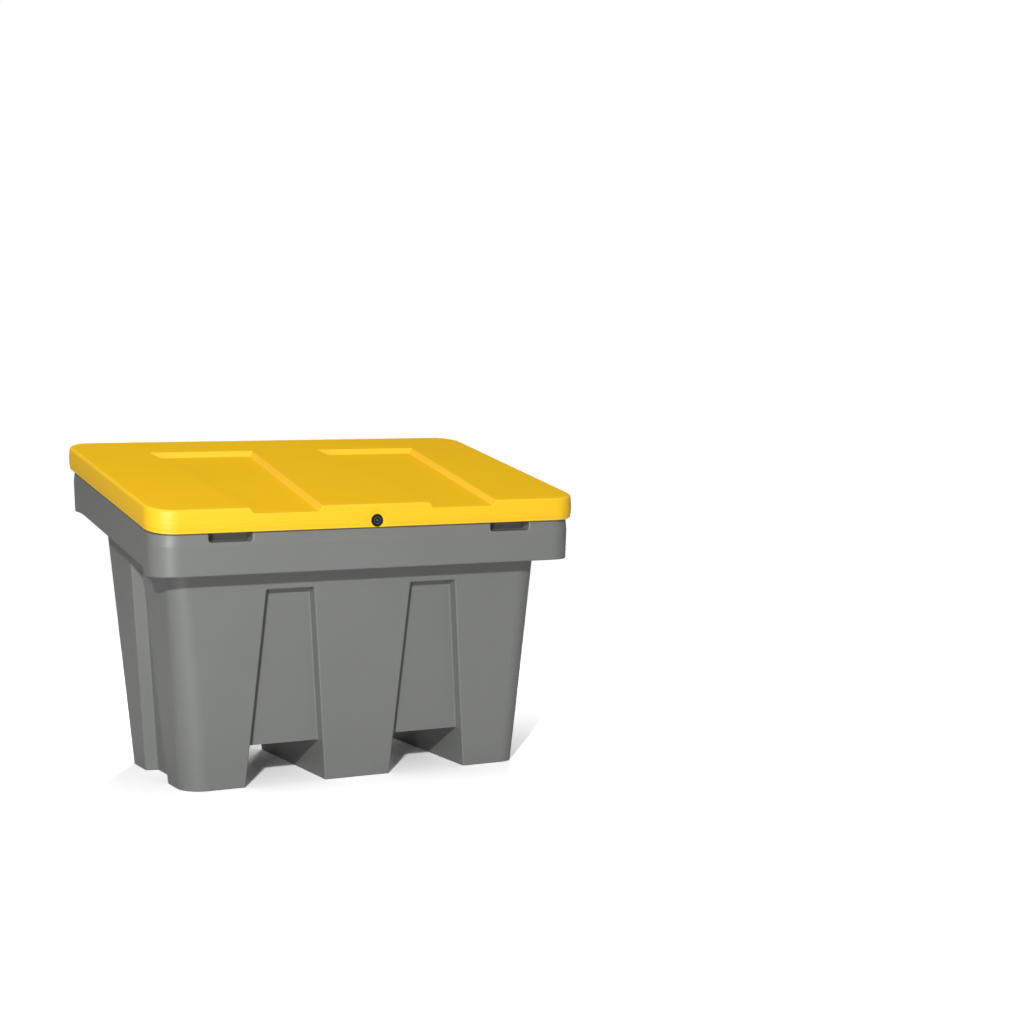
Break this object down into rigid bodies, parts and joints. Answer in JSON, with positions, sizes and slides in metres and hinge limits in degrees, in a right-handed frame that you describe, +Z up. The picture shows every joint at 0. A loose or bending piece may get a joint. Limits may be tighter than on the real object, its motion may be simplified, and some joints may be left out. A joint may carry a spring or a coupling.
{
  "type": "grit salt bin",
  "caption": "Free-standing tapered plastic grit bin with fork tunnels, hand grips and a sloping hinged lid with a cam lock",
  "frame": {"origin": "on the ground under the middle of the lid", "axes": "+X to the right seen from the front, +Y to the back (the hinges), +Z up"},
  "size_m": [1.207, 0.807, 0.8787],
  "materials": {
    "tub": "moulded grey polyethylene, satin with a fine orange-peel grain",
    "lid": "moulded yellow polyethylene, satin with a fine orange-peel grain",
    "hinge": "stainless, brushed",
    "fastener": "zinc-plated",
    "lock": "dark satin die-cast",
    "plug": "worn bright metal",
    "rubber": "matt black"
  },
  "bodies": {
    "tub": {"tub": "tub", "striker_plate": "hinge", "striker_screws": "fastener", "lid_buffers": "rubber", "hinge_tub_leaf_left": "hinge", "hinge_pin_left": "fastener", "hinge_tub_leaf_right": "hinge", "hinge_pin_right": "fastener", "hinge_tub_screws": "fastener", "hinge_tub_washers": "fastener", "hinge_tub_nuts": "fastener"},
    "lid": {"lid_shell": "lid", "hinge_lid_leaf_left": "hinge", "hinge_lid_leaf_right": "hinge", "hinge_lid_screws": "fastener", "hinge_lid_washers": "fastener", "hinge_lid_nuts": "fastener", "lock_housing": "lock", "lock_seal": "rubber", "lock_nut": "fastener"},
    "lock": {"lock_plug": "plug", "lock_cam": "hinge", "lock_cam_screw": "fastener"}
  },
  "joints": [
    {"name": "lid_hinge", "type": "hinge", "parent": "tub", "child": "lid", "pos_m": [0, 0.391, 0.81506], "axis": [-1, 0, 0], "range_deg": [0, 110]},
    {"name": "lock_turn", "type": "hinge", "parent": "lid", "child": "lock", "pos_m": [0, -0.38, 0.6966], "axis": [0, -1, 0], "range_deg": [0, 90]}
  ]
}
